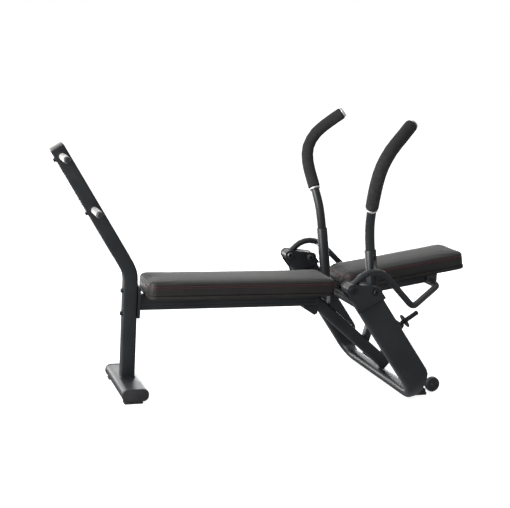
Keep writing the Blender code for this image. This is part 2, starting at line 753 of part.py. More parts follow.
def arm_loop():
    px, pz = PIVOT
    loop = to_object("arm_loop", sweep(arm_path(), circle(ARM_R, 12)), powder_coat("arm_coat"),
                     MOVE)
    hubs = []
    cuts = []
    half = 0.0262
    bore = (PIVOT_R + RUN) / math.cos(math.pi / 24)     # its flats clear the pin's corners
    for sign in (-1, 1):
        centre = Vector((px, sign * LEG_Y, pz))
        hubs.append(turned([(-half, 0), (-half, HUB_R - 0.0015), (-half + 0.0015, HUB_R),
                            (half - 0.0015, HUB_R), (half, HUB_R - 0.0015), (half, 0)],
                           centre, (0, 1, 0), 24))
        cuts.append(rod(centre - Vector((0, 0.05, 0)), centre + Vector((0, 0.05, 0)),
                        bore, 24))
    combine(loop, hubs, "UNION")
    combine(loop, cuts)


def socket_axis(sign):
    low = Vector((SOCKET_LOW[0], sign * SOCKET_Y, SOCKET_LOW[1]))
    top = Vector((SOCKET_TOP[0], sign * SOCKET_Y, SOCKET_TOP[1]))
    return low, top


def handle_socket(side, sign):
    low, top = socket_axis(sign)
    length = (top - low).length
    depth = 0.090
    profile = [(0, 0), (0, SOCKET_R - 0.001), (0.001, SOCKET_R), (length - 0.003, SOCKET_R),
               (length, SOCKET_R - 0.002), (length, SOCKET_BORE), (length - depth, SOCKET_BORE),
               (length - depth, 0)]
    obj = to_object(f"handle_socket_{side}", turned(profile, low, top - low, 16),
                    powder_coat(f"socket_{side}_coat"), MOVE)
    # gusset out to the arm tube
    z0, z1 = 0.5040, 0.5560
    x = 0.3640
    inner = SOCKET_Y + SOCKET_R - 0.004
    outer = 0.3080
    points = [(inner, z0), (outer, 0.5060), (outer, 0.5150), (inner + 0.008, z1), (inner, z1)]
    plate = loft([[Vector((x + w, sign * y, z)) for y, z in points] for w in (-0.004, 0.004)])
    return combine(obj, [plate], "UNION")


def handle_points(sign):
    low, top = socket_axis(sign)
    along = (top - low).normalized()
    start = top - along * 0.085
    measured = [(0.3455, 0.2465, 0.6450), (0.3380, 0.2560, 0.6930), (0.3290, 0.2790, 0.7430),
                (0.3190, 0.3100, 0.7990), (0.3110, 0.3450, 0.8620), (0.3170, 0.3660, 0.9240),
                (0.3480, 0.3660, 0.9840), (0.3960, 0.3480, 1.0330), (0.4450, 0.3214, 1.0767)]
    points = [start, top] + [Vector((x, sign * y, z)) for x, y, z in measured]
    return points


def smooth_curve(points, steps):
    """Catmull-Rom curve through the points."""
    ends = [points[0] * 2 - points[1]] + points + [points[-1] * 2 - points[-2]]
    path = []
    for a, b, c, d in zip(ends, ends[1:], ends[2:], ends[3:]):
        for i in range(steps):
            t = i / steps
            path.append(0.5 * ((2 * b) + (c - a) * t + (2 * a - 5 * b + 4 * c - d) * t * t
                               + (3 * b - a - 3 * c + d) * t * t * t))
    path.append(points[-1])
    return path


def part_of(path, start, end):
    """The stretch of a path between two distances along it."""
    result = []
    travelled = 0.0
    for a, b in zip(path, path[1:]):
        step = (b - a).length
        for limit in (start, end):
            if travelled <= limit < travelled + step:
                result.append((limit, a.lerp(b, (limit - travelled) / step)))
        if start < travelled + step < end:
            result.append((travelled + step, b.copy()))
        travelled += step
    result.sort(key=lambda item: item[0])
    return [point for _, point in result]


def path_length(path):
    return sum((b - a).length for a, b in zip(path, path[1:]))


def handle(side, sign):
    path = smooth_curve(handle_points(sign), 2)
    total = path_length(path)
    core = part_of(path, 0.0, RING_AT + 0.0005) + part_of(path, RING_AT + 0.010, total)[:-1]
    core.append(path[-1])
    to_object(f"handle_tube_{side}", sweep(core, circle(HANDLE_R, 12), up=(0, 1, 0)),
              powder_coat(f"handle_{side}_coat"), MOVE)
    sleeve(f"grip_{side}", part_of(path, RING_AT + 0.0086, total - 0.0005), GRIP_R,
           foam_rubber(f"grip_{side}_foam"), 14, rounding=0.004)
    sleeve(f"grip_ring_{side}", part_of(path, RING_AT, RING_AT + 0.0080), 0.0228,
           bright_steel(f"grip_ring_{side}_steel"), 16, rounding=0.0015)
    tangent = (core[-1] - core[-2]).normalized()
    profile = [(GAP, 0), (GAP, 0.0215), (0.0015, 0.0230), (0.0050, 0.0230), (0.0075, 0.0200),
               (0.0085, 0)]
    to_object(f"grip_end_cap_{side}", turned(profile, path[-1], tangent, 16),
              bright_steel(f"grip_end_cap_{side}_steel"), MOVE)


def sleeve(name, path, radius, mat, count, rounding):
    """Hollow tube over the handle tube, with softened ends."""
    inner = (HANDLE_R + 2 * GAP) / math.cos(math.pi / count)
    rows = frames(path, (0, 1, 0))
    bm = bmesh.new()

    def ring(row, r, shift=0.0):
        point, tangent, side, top = row[:4]
        return [bm.verts.new(point + tangent * shift + side * u + top * v)
                for u, v in circle(r, count)]

    rings = [ring(rows[0], inner), ring(rows[0], radius - rounding)]
    rings.append(ring(rows[0], radius, rounding))
    rings += [ring(row, radius) for row in rows[1:-1]]
    rings.append(ring(rows[-1], radius, -rounding))
    rings.append(ring(rows[-1], radius - rounding))
    rings.append(ring(rows[-1], inner))
    rings += [ring(row, inner) for row in reversed(rows[1:-1])]
    for low, high in zip(rings, rings[1:] + rings[:1]):
        bridge(bm, low, high)
    return to_object(name, bm, mat, MOVE)


def low_cross_tube():
    x, z = LOW_TUBE
    path = [Vector((x, y, z)) for y in (-0.264, 0.264)]
    to_object("low_cross_tube", sweep(path, circle(LOW_TUBE_R, 16)), powder_coat("low_cross_coat"),
              MOVE)


def pad_matrix():
    """Frame of the back rest: X along it, Z square to its top face, origin at the low end."""
    turn = Matrix.Rotation(-PAD_TILT, 4, "Y")
    return Matrix.Translation((PAD_START[0], 0, PAD_START[1])) @ turn


def back_rest():
    frame = pad_matrix()
    middle = Matrix.Translation((PAD_LENGTH / 2, 0, -PAD_T))
    rings = rounded_slab(PAD_LENGTH, 2 * PAD_HALF_W, 0.042, pad_levels(PAD_T, 0.016))
    to_object("back_pad", loft([[frame @ middle @ p for p in ring] for ring in rings]),
              upholstery("back_pad_vinyl"), MOVE)
    lower = Matrix.Translation((PAD_LENGTH / 2, 0, -PAD_T - GAP - BOARD_T))
    rings = rounded_slab(PAD_LENGTH - 0.006, 2 * PAD_HALF_W - 0.008, 0.038,
                         [(0, 0.001), (0.001, 0), (BOARD_T - 0.001, 0), (BOARD_T, 0.001)])
    to_object("back_board", loft([[frame @ lower @ p for p in ring] for ring in rings]),
              plywood("back_board_ply"), MOVE)


def under_pad(x):
    """Height of the board's underside at a given X."""
    drop = (PAD_T + BOARD_T + 2 * GAP) / math.cos(PAD_TILT)
    return PAD_START[1] + (x - PAD_START[0]) * math.tan(PAD_TILT) - drop


def pad_rail(side, sign):
    frame = pad_matrix()
    top = -(PAD_T + BOARD_T + 2 * GAP)
    start, end = 0.034, 0.350
    y = sign * 0.086
    path = [frame @ Vector((s, y, top - RAIL / 2)) for s in (start, end)]
    outline = rounded(0.020, RAIL, 0.003, 1)
    up = (frame.to_3x3() @ Vector((0, 0, 1)))
    return to_object(f"pad_rail_{side}", sweep(path, outline, up=up),
                     powder_coat(f"pad_rail_{side}_coat"), MOVE)


def pad_saddle(side, sign):
    x, z = RUN_TUBE
    low, high = sorted((sign * 0.066, sign * 0.106))
    x0, x1 = x - 0.019, x + 0.023
    base = z + 0.004
    rows = 4
    ridge = 0.0016
    left = []
    right = []
    for i in range(rows * 2 + 1):
        t = i / (rows * 2)
        inset = ridge if i % 2 else 0.0
        right.append((x1 - inset, base + (under_pad(x1) - GAP - base) * t))
        left.append((x0 + inset, base + (under_pad(x0) - GAP - base) * t))
    outline = right + list(reversed(left))
    obj = to_object(f"pad_saddle_{side}", prism(outline, low, high, in_xz),
                    rubber(f"pad_saddle_{side}"), MOVE, smooth=20.0)
    start = (x, low - 0.01, z)
    end = (x, high + 0.01, z)
    return combine(obj, [rod(start, end, ARM_R + GAP + 0.0002, 20)], smooth=20.0)


def lever_axes():
    start = Vector((LOW_TUBE[0], 0, LOW_TUBE[1]))
    end = Vector((LEVER_END[0], 0, LEVER_END[1]))
    along = (end - start).normalized()
    return start, end, along


LEVER_H = 0.036
LEVER_W = 0.024


def lever_bottom(x):
    start, end, along = lever_axes()
    return start.z + (x - start.x) * along.z / along.x - LEVER_H / 2 / along.x


def weight_lever():
    start, end, along = lever_axes()
    path = [start + along * (LOW_TUBE_R - 0.002), end]
    lever = to_object("weight_lever", sweep(path, rounded(LEVER_W, LEVER_H, 0.004, 2),
                                            up=along.cross(Vector((0, 1, 0)))),
                      powder_coat("weight_lever_coat"), MOVE)
    aside = Vector((0, 0.03, 0))
    hug = [rod(start - aside, start + aside, LOW_TUBE_R + GAP, 24)]
    combine(lever, hug)
    direction = Vector((math.cos(HORN_TILT), 0, math.sin(HORN_TILT)))
    normal = along.cross(Vector((0, 1, 0)))
    if normal.z < 0:
        normal = -normal
    foot = end - along * 0.020
    reach = (LEVER_H / 2 + GAP) / direction.dot(normal)
    base = foot + direction * reach
    flange = 0.0145
    length = 0.0840
    profile = [(0.0, 0), (0.0, 0.0098), (flange, 0.0098), (flange, 0.0300), (flange + 0.001, 0.0310),
               (flange + 0.0035, 0.0310), (flange + 0.0045, 0.0300), (flange + 0.0045, 0.0098),
               (length - 0.002, 0.0098), (length, 0.0080), (length, 0)]
    horn = to_object("weight_horn", turned(profile, base, direction, 20),
                     bright_steel("weight_horn_steel"), MOVE)
    inside = foot + normal * (LEVER_H / 2 + GAP) - normal * 0.05
    slab = loft([[inside + along * u + Vector((0, v, 0)) + normal * w
                  for u, v in ((-0.06, -0.03), (0.06, -0.03), (0.06, 0.03), (-0.06, 0.03))]
                 for w in (0.0, 0.05)])
    combine(horn, [slab])


def centre_over_origin():
    """Shift every piece along X so that the bounding box stands centred on the origin."""
    bpy.context.view_layer.update()
    across = [(obj.matrix_world @ Vector(corner)).x
              for obj in bpy.data.objects for corner in obj.bound_box]
    shift = (min(across) + max(across)) / 2
    for obj in bpy.data.objects:
        obj.location.x -= shift
    return shift


def parent_moving(names, shift):
    pivot = bpy.data.objects.new("arm_pivot", None)
    pivot.location = (MOVE[0] - shift, MOVE[1], MOVE[2])
    bpy.context.scene.collection.objects.link(pivot)
    bpy.context.view_layer.update()
    for name in names:
        obj = bpy.data.objects[name]
        obj.parent = pivot
        obj.matrix_parent_inverse = pivot.matrix_world.inverted()


MOVING = ["arm_loop", "low_cross_tube", "pad_rail_left", "pad_rail_right", "pad_saddle_left",
          "pad_saddle_right", "back_board", "back_pad", "weight_lever", "weight_horn",
          "handle_socket_left", "handle_socket_right", "handle_tube_left", "handle_tube_right",
          "grip_left", "grip_right", "grip_ring_left", "grip_ring_right", "grip_end_cap_left",
          "grip_end_cap_right"]


def main():
    for obj in list(bpy.data.objects):
        bpy.data.objects.remove(obj)
    front_foot()
    front_post()
    foot_bars()
    seat_beam()
    seat()
    rear_leg_loop()
    center_beam()
    stop_post()
    cross_member()
    both(pivot_bracket)
    both(bracket_bolts)
    rear_feet()
    wheels()
    arm_loop()
    both(handle_socket)
    both(handle)
    low_cross_tube()
    both(pad_rail)
    back_rest()
    both(pad_saddle)
    weight_lever()
    parent_moving(MOVING, centre_over_origin())


main()
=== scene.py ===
"""Looks of the abdominal crunch bench: cushions, foam grips, seams, finishes, studio and camera."""
import json
import math

import bmesh
import bpy
from mathutils import Matrix, Vector, noise
from mathutils.bvhtree import BVHTree


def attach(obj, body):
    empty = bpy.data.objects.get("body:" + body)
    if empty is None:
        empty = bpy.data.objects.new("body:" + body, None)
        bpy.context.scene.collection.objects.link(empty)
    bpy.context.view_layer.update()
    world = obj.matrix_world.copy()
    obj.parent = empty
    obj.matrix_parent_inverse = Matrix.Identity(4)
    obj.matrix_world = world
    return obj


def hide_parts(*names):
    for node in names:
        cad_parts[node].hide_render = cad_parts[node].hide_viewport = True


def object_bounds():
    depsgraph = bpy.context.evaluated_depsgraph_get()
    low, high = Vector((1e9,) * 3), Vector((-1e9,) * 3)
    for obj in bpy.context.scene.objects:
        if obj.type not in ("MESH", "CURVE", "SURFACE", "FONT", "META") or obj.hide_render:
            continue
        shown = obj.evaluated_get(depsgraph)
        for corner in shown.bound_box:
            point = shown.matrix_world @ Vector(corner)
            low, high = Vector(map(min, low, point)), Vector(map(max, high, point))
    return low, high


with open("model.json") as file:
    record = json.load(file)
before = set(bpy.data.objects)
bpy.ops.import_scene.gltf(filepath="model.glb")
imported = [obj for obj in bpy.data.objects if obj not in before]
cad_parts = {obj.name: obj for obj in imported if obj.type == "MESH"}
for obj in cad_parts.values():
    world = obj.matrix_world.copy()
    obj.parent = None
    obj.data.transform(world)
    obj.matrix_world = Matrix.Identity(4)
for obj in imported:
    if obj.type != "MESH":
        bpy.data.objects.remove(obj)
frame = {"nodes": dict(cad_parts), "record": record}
cad_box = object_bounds()

# Camera: place, heading, and the small roll of the picture
LENS = 74.12
SENSOR = 36.0
CAMERA_AT = (-1.3790, -3.8177, 1.3020)
CAMERA_HEADING = math.radians(19.31)
CAMERA_DOWN = math.radians(10.78)
CAMERA_ROLL = math.radians(3.23)

# Studio: white floor and background, a wide soft sun, and a dim room for the reflections
SUN_POWER = 1.9
SUN_SPREAD = math.radians(120)
ROOM_LIGHT = 0.28
FLOOR_GREY = 0.45
FLOOR_GLOW = 0.80

# Moving and standing bodies
STANDING = "frame"
MOVING = "arm"
SIDES = ("left", "right")

# Upholstery
BACK_TILT = math.radians(9.3)
VOXEL = 0.005                    # mesh size of the cushions before they are smoothed
PRESSURE = 4.0
CLOTH_FRAMES = 20
SWELL = 0.0025                   # how far a point of a cushion may move while it is inflated
START_INSET = 0.0035             # the cushions start this much inside the solid pads' sides
PAD_RISE = 0.0075                # the cushions start this much higher than the solid pads
PANEL_DROP = 0.012               # piped seam of the top panel, below the top of the solid pad
STITCH = 0.0068                  # length of one stitch
STITCH_PITCH = 0.0100
CLOTH_MASS = 0.3
CLOTH_QUALITY = 4
STRETCH_STIFFNESS = 12
BEND_STIFFNESS = 4.0
UNDERSIDE = 0.004                # the part of a cushion below this height is held still
SIDE_ROUNDING = 0.013            # between the side of a cushion and its top panel
HEM_HEIGHT = 0.0085              # of the seam round the foot of a cushion
STITCH_DROP = 0.0062             # of the row of stitches, below the piping
STITCH_R = 0.0008
PIPING_R = 0.0017
SEAT_CORNER = 0.030
SEAT_CROWN = 0.004
BACK_CORNER = 0.040
BACK_CROWN = 0.007
PIPED_CREASE = (0.0009, 0.0022, 0.0007)      # depth, reach and pucker of a seam
HEM_CREASE = (0.0006, 0.0020, 0.0004)
PIPING_LIFT = 0.0006
STITCH_LIFT = 0.0004

# Grips
FOAM_VOXEL = 0.0022
FOAM_OVERSIZE = 0.0006

# Fasteners and welds
POST_LEAN = math.radians(31.77)
WELD = 0.0026
WELD_STEP = 0.0022
DRIVE_R = 0.0055
BIG_DRIVE_R = 0.0065
EDGE_ROUNDING = 0.0007           # on the CAD pieces
SMOOTH_BELOW = math.radians(36)  # edges flatter than this are shaded smooth
ROUND_ABOVE = math.radians(38)   # edges steeper than this are rounded
MERGE = 0.00002                  # corners of the CAD pieces closer than this are one

# Near-black strip along the joint between each pivot bracket and the leg below it, painted shade of the
# gap there: X and Z of its ends, and how far out it lies
JOINT_LOW = (0.2441, 0.3699)
JOINT_HIGH = (0.3723, 0.4371)
JOINT_Y = 0.3590
SHADE_STRIP_R = 0.0032
SHADE_STRIP_LIFT = 0.0006


# ---------------------------------------------------------------- camera and studio
def make_camera():
    down, heading = CAMERA_DOWN, CAMERA_HEADING
    look = Vector((math.sin(heading) * math.cos(down), math.cos(heading) * math.cos(down),
                   -math.sin(down)))
    level = Vector((math.cos(heading), -math.sin(heading), 0))
    above = level.cross(look)
    right = level * math.cos(CAMERA_ROLL) + above * math.sin(CAMERA_ROLL)
    up = above * math.cos(CAMERA_ROLL) - level * math.sin(CAMERA_ROLL)
    data = bpy.data.cameras.new("camera")
    data.lens = LENS
    data.sensor_fit = "HORIZONTAL"
    data.sensor_width = SENSOR
    camera = bpy.data.objects.new("camera", data)
    camera.matrix_world = Matrix.Translation(CAMERA_AT) @ Matrix((right, up, -look)).transposed().to_4x4()
    bpy.context.scene.collection.objects.link(camera)
    bpy.context.scene.camera = camera


def soft_light(name, place, aim, size, power):
    data = bpy.data.lights.new(name, "AREA")
    data.shape = "RECTANGLE"
    data.size, data.size_y = size
    data.energy = power
    light = bpy.data.objects.new(name, data)
    light.location = place
    light.rotation_euler = (Vector(aim) - Vector(place)).to_track_quat("-Z", "Y").to_euler()
    light.visible_camera = False
    bpy.context.scene.collection.objects.link(light)


def overhead_light():
    data = bpy.data.lights.new("overhead", "SUN")
    data.energy = SUN_POWER
    data.angle = SUN_SPREAD
    light = bpy.data.objects.new("overhead", data)
    light.rotation_euler = (math.radians(-16), math.radians(-10), 0)
    bpy.context.scene.collection.objects.link(light)


def make_world():
    """White behind the object, and a dimmer room for its reflections and shade."""
    world = bpy.data.worlds.new("studio")
    bpy.context.scene.world = world
    world.use_nodes = True
    tree = world.node_tree
    tree.nodes.clear()
    out = tree.nodes.new("ShaderNodeOutputWorld")
    mix = tree.nodes.new("ShaderNodeMixShader")
    room = tree.nodes.new("ShaderNodeBackground")
    room.inputs["Color"].default_value = (0.95, 0.97, 1.0, 1.0)
    room.inputs["Strength"].default_value = ROOM_LIGHT
    white = tree.nodes.new("ShaderNodeBackground")
    white.inputs["Color"].default_value = (1.0, 1.0, 1.0, 1.0)
    rays = tree.nodes.new("ShaderNodeLightPath")
    tree.links.new(rays.outputs["Is Camera Ray"], mix.inputs["Fac"])
    tree.links.new(room.outputs[0], mix.inputs[1])
    tree.links.new(white.outputs[0], mix.inputs[2])
    tree.links.new(mix.outputs[0], out.inputs["Surface"])


def make_floor():
    bm = bmesh.new()
    bmesh.ops.create_grid(bm, x_segments=1, y_segments=1, size=40)
    mesh = bpy.data.meshes.new("floor")
    bm.to_mesh(mesh)
    bm.free()
    floor = bpy.data.objects.new("floor", mesh)
    floor.location.z = cad_box[0].z - 0.0003
    bpy.context.scene.collection.objects.link(floor)
    white = plain("floor_white", (FLOOR_GREY, FLOOR_GREY, FLOOR_GREY), 0.9)
    shader = white.node_tree.nodes["Principled BSDF"]
    shader.inputs["Emission Color"].default_value = (1.0, 1.0, 1.0, 1.0)
    shader.inputs["Emission Strength"].default_value = FLOOR_GLOW
    mesh.materials.append(white)
    floor.visible_glossy = False


def make_studio():
    bpy.context.scene.view_settings.view_transform = "Standard"
    make_world()
    make_floor()
    overhead_light()
    soft_light("side", (-3.4, -0.9, 1.7), (-0.2, 0, 0.4), (2.2, 2.4), 250)
    soft_light("behind", (0.6, 3.6, 1.7), (0, 0, 0.5), (4.5, 1.6), 25)
    soft_light("low_behind", (-0.6, 2.6, 0.34), (-0.6, 0, 0.34), (6.0, 0.60), 80)


# ---------------------------------------------------------------- material helpers
def add(tree, kind, settings=None, **inputs):
    """A new node; settings are its properties, inputs its socket values or the sockets that feed them."""
    made = tree.nodes.new(kind)
    for key, value in (settings or {}).items():
        setattr(made, key, value)
    for key, value in inputs.items():
        socket = made.inputs[key.replace("_", " ")]
        if isinstance(value, bpy.types.NodeSocket):
            tree.links.new(value, socket)
        else:
            socket.default_value = value
    return made


def plain(name, colour, roughness, metallic=0.0, specular=0.5):
    mat = bpy.data.materials.new(name)
    mat.use_nodes = True
    shader = mat.node_tree.nodes["Principled BSDF"]
    shader.inputs["Base Color"].default_value = (*colour, 1.0)
    shader.inputs["Roughness"].default_value = roughness
    shader.inputs["Metallic"].default_value = metallic
    shader.inputs["Specular IOR Level"].default_value = specular
    return mat


def parts_of(mat):
    """Tree, shader and the place in the object's own metres, which every pattern follows."""
    tree = mat.node_tree
    place = tree.nodes.new("ShaderNodeTexCoord").outputs["Object"]
    return tree, tree.nodes["Principled BSDF"], place


def stretched(tree, place, scale):
    return add(tree, "ShaderNodeMapping", Vector=place, Scale=scale).outputs["Vector"]


def cloud(tree, place, scale, detail=3.0, distortion=0.0):
    return add(tree, "ShaderNodeTexNoise", Vector=place, Scale=scale, Detail=detail,
               Distortion=distortion).outputs["Fac"]


def spread(tree, value, low, high, start=0.3, stop=0.7):
    """A value from start to stop turned into one from low to high."""
    return add(tree, "ShaderNodeMapRange", Value=value, From_Min=start, From_Max=stop,
               To_Min=low, To_Max=high).outputs["Result"]


def tint(tree, value, stops):
    """Colours along a value: stops are (position, colour)."""
    ramp = add(tree, "ShaderNodeValToRGB", Fac=value)
    while len(ramp.color_ramp.elements) < len(stops):
        ramp.color_ramp.elements.new(0.5)
    for element, (position, colour) in zip(ramp.color_ramp.elements, stops):
        element.position = position
        element.color = (*colour, 1.0)
    return ramp.outputs["Color"]


def relief(tree, shader, layers):
    """Bumps one on another: layers are (height, strength, depth in metres)."""
    normal = None
    for height, strength, depth in layers:
        bump = add(tree, "ShaderNodeBump", Height=height, Strength=strength, Distance=depth)
        if normal is not None:
            tree.links.new(normal, bump.inputs["Normal"])
        normal = bump.outputs["Normal"]
    tree.links.new(normal, shader.inputs["Normal"])


def shade(tree, shader, colour=None, roughness=None):
    if colour is not None:
        tree.links.new(colour, shader.inputs["Base Color"])
    if roughness is not None:
        tree.links.new(roughness, shader.inputs["Roughness"])


# ---------------------------------------------------------------- finishes
def powder_coat():
    """Semi-gloss black paint with a fine orange peel, faint dust and small scuffs."""
    mat = plain("powder_coat", (0.012, 0.0135, 0.016), 0.4, specular=0.42)
    tree, shader, place = parts_of(mat)
    dust = cloud(tree, place, 9.0, 5.0)
    colour = tint(tree, dust, [(0.35, (0.0088, 0.0098, 0.0114)), (0.62, (0.0128, 0.0136, 0.0150)),
                               (0.80, (0.0190, 0.0192, 0.0196))])
    scuffs = cloud(tree, stretched(tree, place, (60, 60, 420)), 1.0, 6.0, 1.5)
    rough = add(tree, "ShaderNodeMath", {"operation": "ADD"})
    tree.links.new(spread(tree, dust, 0.34, 0.44), rough.inputs[0])
    tree.links.new(spread(tree, scuffs, 0.0, 0.09, 0.52, 0.72), rough.inputs[1])
    shade(tree, shader, colour, rough.outputs[0])
    relief(tree, shader, [(cloud(tree, place, 900, 2.0), 0.22, 0.00012),
                          (cloud(tree, place, 110, 2.0), 0.12, 0.0004)])
    return mat


def vinyl(name, lit, deep, roughness):
    """Grained vinyl: pebbles with creases between them, softly mottled."""
    mat = plain(name, lit, roughness, specular=0.32)
    tree, shader, place = parts_of(mat)
    shader.inputs["Sheen Weight"].default_value = 0.06
    shader.inputs["Sheen Roughness"].default_value = 0.4
    shader.inputs["Sheen Tint"].default_value = (1.0, 0.96, 0.92, 1.0)
    pebbles = add(tree, "ShaderNodeTexVoronoi", {"feature": "SMOOTH_F1"}, Vector=place, Scale=620.0,
                  Smoothness=0.35).outputs["Distance"]
    creases = cloud(tree, place, 260, 4.0, 0.8)
    mottle = cloud(tree, place, 14, 4.0)
    colour = tint(tree, mottle, [(0.3, deep), (0.7, lit)])
    shade(tree, shader, colour, spread(tree, creases, roughness - 0.07, roughness + 0.08))
    relief(tree, shader, [(pebbles, 0.35, 0.00035), (creases, 0.25, 0.0003),
                          (cloud(tree, place, 26, 3.0), 0.30, 0.0011)])
    return mat


def thread():
    """Twisted dark red thread."""
    mat = plain("thread", (0.10, 0.018, 0.022), 0.6)
    tree, shader, place = parts_of(mat)
    twist = cloud(tree, place, 1500, 2.0)
    shade(tree, shader, tint(tree, twist, [(0.35, (0.060, 0.010, 0.013)), (0.7, (0.16, 0.030, 0.036))]))
    relief(tree, shader, [(twist, 0.5, 0.0003)])
    return mat


def foam():
    """Closed-cell foam: fine pits and a dry, even surface."""
    mat = plain("foam", (0.017, 0.0155, 0.0165), 0.9, specular=0.28)
    tree, shader, place = parts_of(mat)
    pits = add(tree, "ShaderNodeTexVoronoi", Vector=place, Scale=900.0).outputs["Distance"]
    patches = cloud(tree, place, 60, 4.0)
    colour = tint(tree, patches, [(0.3, (0.0115, 0.0105, 0.0115)), (0.75, (0.021, 0.0195, 0.0205))])
    shade(tree, shader, colour, spread(tree, patches, 0.82, 0.96))
    relief(tree, shader, [(pits, 0.45, 0.0004), (patches, 0.3, 0.0006)])
    return mat


def bright_plate(name, colour, roughness, metallic=1.0):
    """Plated steel with a fine turned grain."""
    mat = plain(name, colour, roughness, metallic=metallic)
    tree, shader, place = parts_of(mat)
    grain = cloud(tree, stretched(tree, place, (1500, 60, 1500)), 1.0, 3.0)
    smear = cloud(tree, place, 40, 4.0)
    darker = tuple(0.82 * c for c in colour)
    shade(tree, shader, tint(tree, smear, [(0.3, darker), (0.7, colour)]),
          spread(tree, grain, max(roughness - 0.07, 0.05), roughness + 0.08))
    relief(tree, shader, [(grain, 0.10, 0.0001)])
    return mat


def moulded(name, colour, roughness):
    """Moulded plastic with a spark-eroded texture."""
    mat = plain(name, colour, roughness, specular=0.4)
    tree, shader, place = parts_of(mat)
    erosion = cloud(tree, place, 1400, 2.0)
    flow = cloud(tree, place, 30, 3.0)
    lighter = tuple(1.5 * c for c in colour)
    shade(tree, shader, tint(tree, flow, [(0.35, colour), (0.75, lighter)]),
          spread(tree, erosion, roughness - 0.06, roughness + 0.08))
    relief(tree, shader, [(erosion, 0.4, 0.00015)])
    return mat


def rubber():
    mat = plain("rubber", (0.013, 0.013, 0.0135), 0.8, specular=0.3)
    tree, shader, place = parts_of(mat)
    chalk = cloud(tree, place, 120, 5.0)
    shade(tree, shader, tint(tree, chalk, [(0.4, (0.010, 0.010, 0.0105)), (0.8, (0.030, 0.029, 0.028))]),
          spread(tree, chalk, 0.72, 0.9))
    relief(tree, shader, [(cloud(tree, place, 700, 3.0), 0.5, 0.0003)])
    return mat


def stained_board():
    """Dark plywood: long grain on the face and thin layers on the edge."""
    mat = plain("stained_board", (0.013, 0.012, 0.011), 0.7, specular=0.3)
    tree, shader, place = parts_of(mat)
    grain = cloud(tree, stretched(tree, place, (14, 160, 160)), 1.0, 5.0, 0.6)
    layers = add(tree, "ShaderNodeTexWave", {"bands_direction": "Z"}, Vector=place, Scale=110.0,
                 Distortion=1.2).outputs["Fac"]
    both = add(tree, "ShaderNodeMath", {"operation": "ADD", "use_clamp": True})
    tree.links.new(spread(tree, grain, 0.0, 0.75), both.inputs[0])
    tree.links.new(spread(tree, layers, 0.0, 0.25, 0.0, 1.0), both.inputs[1])
    colour = tint(tree, both.outputs[0], [(0.2, (0.0075, 0.0068, 0.0064)),
                                          (0.8, (0.0180, 0.0155, 0.0135))])
    shade(tree, shader, colour, spread(tree, grain, 0.6, 0.8))
    relief(tree, shader, [(grain, 0.4, 0.0003)])
    return mat


# ---------------------------------------------------------------- mesh helpers
def new_piece(name, bm, mat, body, smooth=40.0):
    mesh = bpy.data.meshes.new(name)
    bmesh.ops.recalc_face_normals(bm, faces=bm.faces)
    bm.to_mesh(mesh)
    bm.free()
    mesh.shade_smooth()
    mesh.set_sharp_from_angle(angle=math.radians(smooth))
    mesh.materials.append(mat)
    piece = bpy.data.objects.new(name, mesh)
    bpy.context.scene.collection.objects.link(piece)
    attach(piece, body)
    return piece


def points_of(node):
    return [v.co.copy() for v in frame["nodes"][node].data.vertices]


def far_face(node, direction, depth=0.0003):
    """Points of a node that lie furthest along a direction."""
    points = points_of(node)
    furthest = max(p.dot(direction) for p in points)
    return [p for p in points if p.dot(direction) > furthest - depth]


def middle_of(points):
    return sum(points, Vector()) / len(points)


def around(axis):
    """Two directions square to an axis."""
    axis = axis.normalized()
    helper = Vector((0, 1, 0)) if abs(axis.y) < 0.9 else Vector((1, 0, 0))
    u = helper.cross(axis).normalized()
    return u, axis.cross(u)


def ordered(points, axis):
    """The outer points of a flat set, once each, in order round its middle."""
    u, v = around(axis)
    centre = middle_of(points)
    found = {}
    for p in points:
        angle = math.atan2((p - centre).dot(v), (p - centre).dot(u))
        key = round(angle, 2)
        if key not in found or (p - centre).length > (found[key][1] - centre).length:
            found[key] = (angle, p)
    return [p for angle, p in sorted(found.values(), key=lambda item: item[0])]


def evenly(ring, step):
    """Points at equal steps along a closed ring."""
    closed = ring + ring[:1]
    lengths = [(b - a).length for a, b in zip(closed, closed[1:])]
    total = sum(lengths)
    count = max(8, round(total / step))
    found = []
    at, i = 0.0, 0
    for k in range(count):
        wanted = total * k / count
        while i < len(lengths) - 1 and at + lengths[i] < wanted:
            at += lengths[i]
            i += 1
        share = (wanted - at) / max(lengths[i], 1e-9)
        found.append(closed[i].lerp(closed[i + 1], min(max(share, 0.0), 1.0)))
    return found


def tube_round(bm, ring, radii, sides=8):
    """A closed tube through a ring of points."""
    count = len(ring)
    loops = []
    for i, point in enumerate(ring):
        along = (ring[(i + 1) % count] - ring[i - 1]).normalized()
        u, v = around(along)
        loops.append([bm.verts.new(point + radii[i] * (u * math.cos(a) + v * math.sin(a)))
                      for a in (2 * math.pi * k / sides for k in range(sides))])
    for i in range(count):
        low, high = loops[i], loops[(i + 1) % count]
        start = min(range(sides), key=lambda k: (high[k].co - low[0].co).length)
        for k in range(sides):
            bm.faces.new((low[k], low[(k + 1) % sides], high[(start + k + 1) % sides],
                          high[(start + k) % sides]))


def bead_grain(bm, start, end, radius, lift):
    """One stitch, or a strip of painted shade along a bracket's gap: a small spindle from start to end,
    raised in the middle.
    """
    along = end - start
    u, v = around(along)
    loops = []
    for share, thick in ((0.08, 0.45), (0.3, 0.95), (0.5, 1.0), (0.7, 0.95), (0.92, 0.45)):
        centre = start + along * share + lift * math.sin(math.pi * share)
        loops.append([bm.verts.new(centre + radius * thick * (u * math.cos(a) + v * math.sin(a)))
                      for a in (2 * math.pi * k / 6 for k in range(6))])
    for low, high in zip(loops, loops[1:]):
        for k in range(6):
            bm.faces.new((low[k], low[(k + 1) % 6], high[(k + 1) % 6], high[k]))
    bm.faces.new(loops[0][::-1])
    bm.faces.new(loops[-1])


